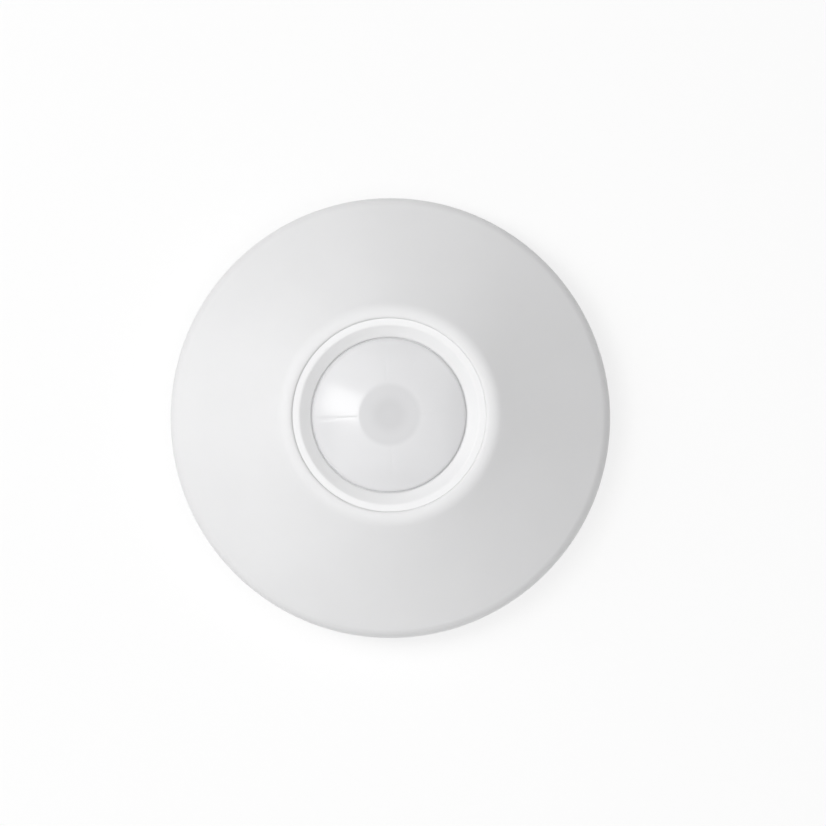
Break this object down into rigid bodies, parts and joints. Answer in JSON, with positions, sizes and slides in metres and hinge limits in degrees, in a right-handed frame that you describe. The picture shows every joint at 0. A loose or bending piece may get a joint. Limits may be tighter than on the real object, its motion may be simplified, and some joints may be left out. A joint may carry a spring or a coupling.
{
  "type": "motion sensor",
  "caption": "Round surface-mount infrared motion sensor: a low cone cover on a flat base, with a domed lens in a raised ring at its centre.",
  "frame": {"origin": "centre of the flat mounting face of the base plate, on the sensor's axis", "axes": "+Z out of the mounting face, through the lens, so in use on a ceiling +Z points down; -Y towards the cable entry and the wiring terminals; +X completes the frame"},
  "size_m": [0.1156, 0.1156, 0.0303],
  "materials": {
    "casing_plastic": "satin",
    "lens_plastic": "satin",
    "gasket_foam": "matte",
    "board_laminate": "satin",
    "zinc_steel": "satin",
    "nickel_can": "satin",
    "filter_window": "gloss",
    "ceramic_chip": "matte",
    "nylon": "satin",
    "black_plastic": "satin",
    "terminal_plastic": "satin",
    "blue_plastic": "satin",
    "red_epoxy": "gloss",
    "varistor_epoxy": "satin",
    "capacitor_sleeve": "satin"
  },
  "bodies": {
    "base": {"base_plate": "casing_plastic", "main_board": "board_laminate", "board_screw_1": "zinc_steel", "board_screw_2": "zinc_steel", "board_screw_3": "zinc_steel", "optics_shroud": "nylon", "pir_spacer": "nylon", "pir_header": "nickel_can", "pir_element": "ceramic_chip", "pir_window": "filter_window", "pir_can": "nickel_can", "status_led": "red_epoxy", "range_trimpot_body": "blue_plastic", "jumper_header": "black_plastic", "tamper_switch_body": "black_plastic", "tamper_spring": "zinc_steel", "alarm_relay": "black_plastic", "supply_capacitor": "capacitor_sleeve", "filter_capacitor": "capacitor_sleeve", "surge_varistor": "varistor_epoxy", "clock_crystal": "nickel_can", "microcontroller": "black_plastic", "signal_amplifier": "black_plastic", "voltage_regulator": "black_plastic", "terminal_housing": "terminal_plastic", "contact_bar_1": "nickel_can", "contact_bar_2": "nickel_can", "contact_bar_3": "nickel_can", "contact_bar_4": "nickel_can", "contact_bar_5": "nickel_can", "contact_bar_6": "nickel_can"},
    "cover": {"front_cover": "casing_plastic", "fresnel_lens": "lens_plastic", "lens_gasket": "gasket_foam"},
    "bezel": {"lens_bezel": "casing_plastic"},
    "range_rotor": {"range_trimpot_rotor": "nylon"},
    "led_link": {"led_jumper": "blue_plastic"},
    "pulse_link": {"pulse_jumper": "blue_plastic"},
    "plunger": {"tamper_plunger": "nylon"},
    "screw_1": {"terminal_screw_1": "zinc_steel"},
    "screw_2": {"terminal_screw_2": "zinc_steel"},
    "screw_3": {"terminal_screw_3": "zinc_steel"},
    "screw_4": {"terminal_screw_4": "zinc_steel"},
    "screw_5": {"terminal_screw_5": "zinc_steel"},
    "screw_6": {"terminal_screw_6": "zinc_steel"},
    "cage_1": {"clamp_cage_1": "zinc_steel"},
    "cage_2": {"clamp_cage_2": "zinc_steel"},
    "cage_3": {"clamp_cage_3": "zinc_steel"},
    "cage_4": {"clamp_cage_4": "zinc_steel"},
    "cage_5": {"clamp_cage_5": "zinc_steel"},
    "cage_6": {"clamp_cage_6": "zinc_steel"}
  },
  "joints": [
    {"name": "cover_lift", "type": "slide", "parent": "base", "child": "cover", "axis": [0, 0, 1], "range_m": [0, 0.045]},
    {"name": "bezel_twist", "type": "hinge", "parent": "cover", "child": "bezel", "pos_m": [0, 0, 0.0285], "axis": [0, 0, 1], "range_deg": [0, 15]},
    {"name": "tamper_release", "type": "slide", "parent": "base", "child": "plunger", "axis": [0, 0, 1], "range_m": [0, 0.0012], "stiffness_N_per_m": 100, "springref_m": 0.004, "deforming": ["tamper_spring"]},
    {"name": "range_turn", "type": "hinge", "parent": "base", "child": "range_rotor", "pos_m": [-0.011, 0.027, 0.0131], "axis": [0, 0, 1], "range_deg": [-135, 135]},
    {"name": "led_jumper_pull", "type": "slide", "parent": "base", "child": "led_link", "axis": [0, 0, 1], "range_m": [0, 0.0042]},
    {"name": "pulse_jumper_pull", "type": "slide", "parent": "base", "child": "pulse_link", "axis": [0, 0, 1], "range_m": [0, 0.0042]},
    {"name": "terminal_screw_1_turn", "type": "hinge", "parent": "base", "child": "screw_1", "pos_m": [-0.0127, -0.023, 0.0185], "axis": [0, 0, 1], "range_deg": [-792, 0]},
    {"name": "clamp_cage_1_rise", "type": "slide", "parent": "base", "child": "cage_1", "axis": [0, 0, 1], "range_m": [0, 0.0011]},
    {"name": "terminal_screw_2_turn", "type": "hinge", "parent": "base", "child": "screw_2", "pos_m": [-0.00762, -0.023, 0.0185], "axis": [0, 0, 1], "range_deg": [-792, 0]},
    {"name": "clamp_cage_2_rise", "type": "slide", "parent": "base", "child": "cage_2", "axis": [0, 0, 1], "range_m": [0, 0.0011]},
    {"name": "terminal_screw_3_turn", "type": "hinge", "parent": "base", "child": "screw_3", "pos_m": [-0.00254, -0.023, 0.0185], "axis": [0, 0, 1], "range_deg": [-792, 0]},
    {"name": "clamp_cage_3_rise", "type": "slide", "parent": "base", "child": "cage_3", "axis": [0, 0, 1], "range_m": [0, 0.0011]},
    {"name": "terminal_screw_4_turn", "type": "hinge", "parent": "base", "child": "screw_4", "pos_m": [0.00254, -0.023, 0.0185], "axis": [0, 0, 1], "range_deg": [-792, 0]},
    {"name": "clamp_cage_4_rise", "type": "slide", "parent": "base", "child": "cage_4", "axis": [0, 0, 1], "range_m": [0, 0.0011]},
    {"name": "terminal_screw_5_turn", "type": "hinge", "parent": "base", "child": "screw_5", "pos_m": [0.00762, -0.023, 0.0185], "axis": [0, 0, 1], "range_deg": [-792, 0]},
    {"name": "clamp_cage_5_rise", "type": "slide", "parent": "base", "child": "cage_5", "axis": [0, 0, 1], "range_m": [0, 0.0011]},
    {"name": "terminal_screw_6_turn", "type": "hinge", "parent": "base", "child": "screw_6", "pos_m": [0.0127, -0.023, 0.0185], "axis": [0, 0, 1], "range_deg": [-792, 0]},
    {"name": "clamp_cage_6_rise", "type": "slide", "parent": "base", "child": "cage_6", "axis": [0, 0, 1], "range_m": [0, 0.0011]}
  ],
  "couplings": [
    {"joint": "tamper_release", "follows": "cover_lift", "ratio": 0.02666},
    {"joint": "terminal_screw_1_turn", "follows": "clamp_cage_1_rise", "rad_per_m": -12566},
    {"joint": "terminal_screw_2_turn", "follows": "clamp_cage_2_rise", "rad_per_m": -12566},
    {"joint": "terminal_screw_3_turn", "follows": "clamp_cage_3_rise", "rad_per_m": -12566},
    {"joint": "terminal_screw_4_turn", "follows": "clamp_cage_4_rise", "rad_per_m": -12566},
    {"joint": "terminal_screw_5_turn", "follows": "clamp_cage_5_rise", "rad_per_m": -12566},
    {"joint": "terminal_screw_6_turn", "follows": "clamp_cage_6_rise", "rad_per_m": -12566}
  ]
}
